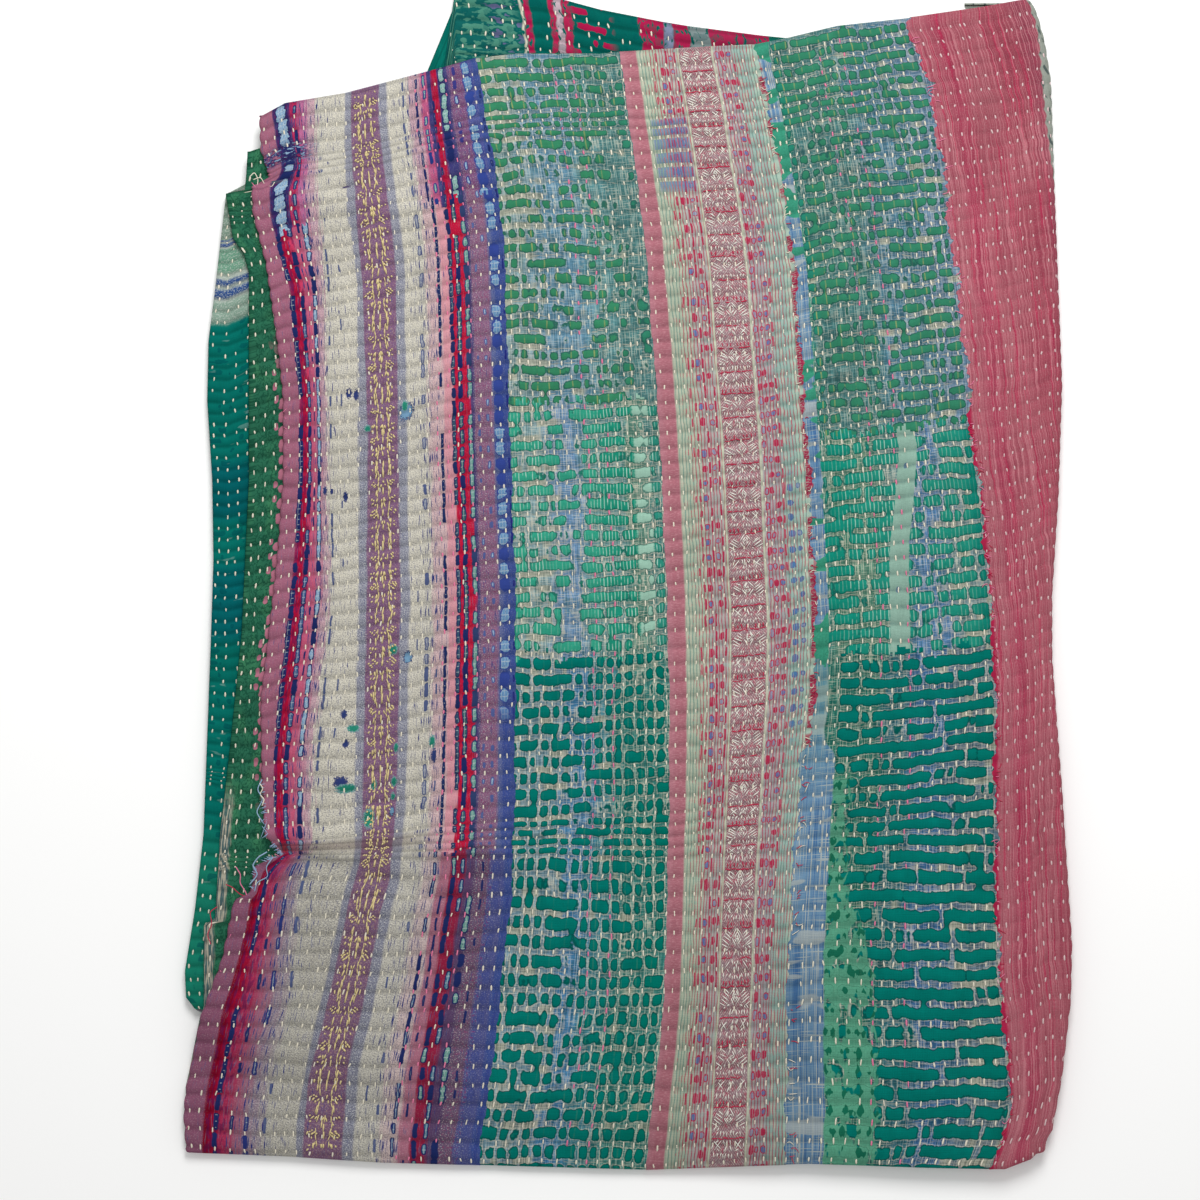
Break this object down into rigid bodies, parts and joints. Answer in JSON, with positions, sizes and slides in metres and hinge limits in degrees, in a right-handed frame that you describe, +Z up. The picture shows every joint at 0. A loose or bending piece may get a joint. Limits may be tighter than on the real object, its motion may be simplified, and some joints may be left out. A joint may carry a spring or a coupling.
{
  "type": "kantha quilt",
  "caption": "Hand-stitched patchwork quilt, folded in quarters and lying flat, with ribs of running stitch and soft tucks.",
  "frame": {"origin": "centre of the folded stack's box, on the surface that it lies on", "axes": "+X to the right fold, +Y from the bottom fold to the open top edges, +Z up out of the face"},
  "size_m": [0.7118, 0.9462, 0.0199],
  "materials": {
    "worn_cotton": "worn cotton layers, soft and matt, stitched in rows"
  },
  "bodies": {
    "root": {"quilt": "worn_cotton"}
  },
  "joints": []
}
